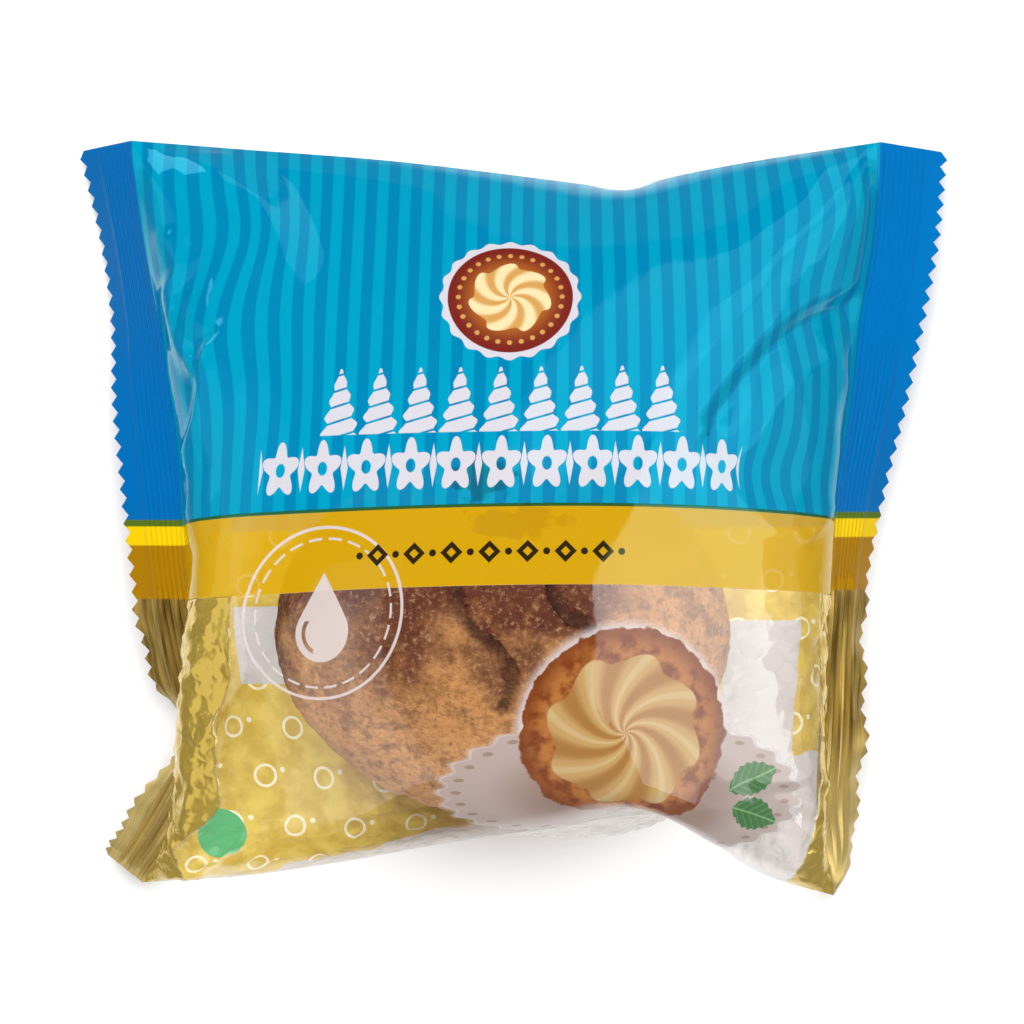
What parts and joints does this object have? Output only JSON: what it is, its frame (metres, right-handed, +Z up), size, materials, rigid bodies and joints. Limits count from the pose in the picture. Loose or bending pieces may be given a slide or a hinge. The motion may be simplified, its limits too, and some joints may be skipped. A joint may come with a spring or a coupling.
{
  "type": "wrapped cream puff",
  "caption": "Cream puff sealed in a printed film pack with a clear window, crimped and toothed at both ends, lying on its back.",
  "frame": {"origin": "middle of the bounding box at its base, on the surface the pack lies on", "axes": "+X to the pack's right as its front is read, +Y to its top fold, +Z up out of its printed front"},
  "size_m": [0.1576, 0.1362, 0.0453],
  "materials": {
    "film": "glossy printed film with a clear window",
    "puff": "baked choux crust, matt and craggy"
  },
  "bodies": {
    "root": {"cream_puff_pack": "film"}
  },
  "joints": []
}
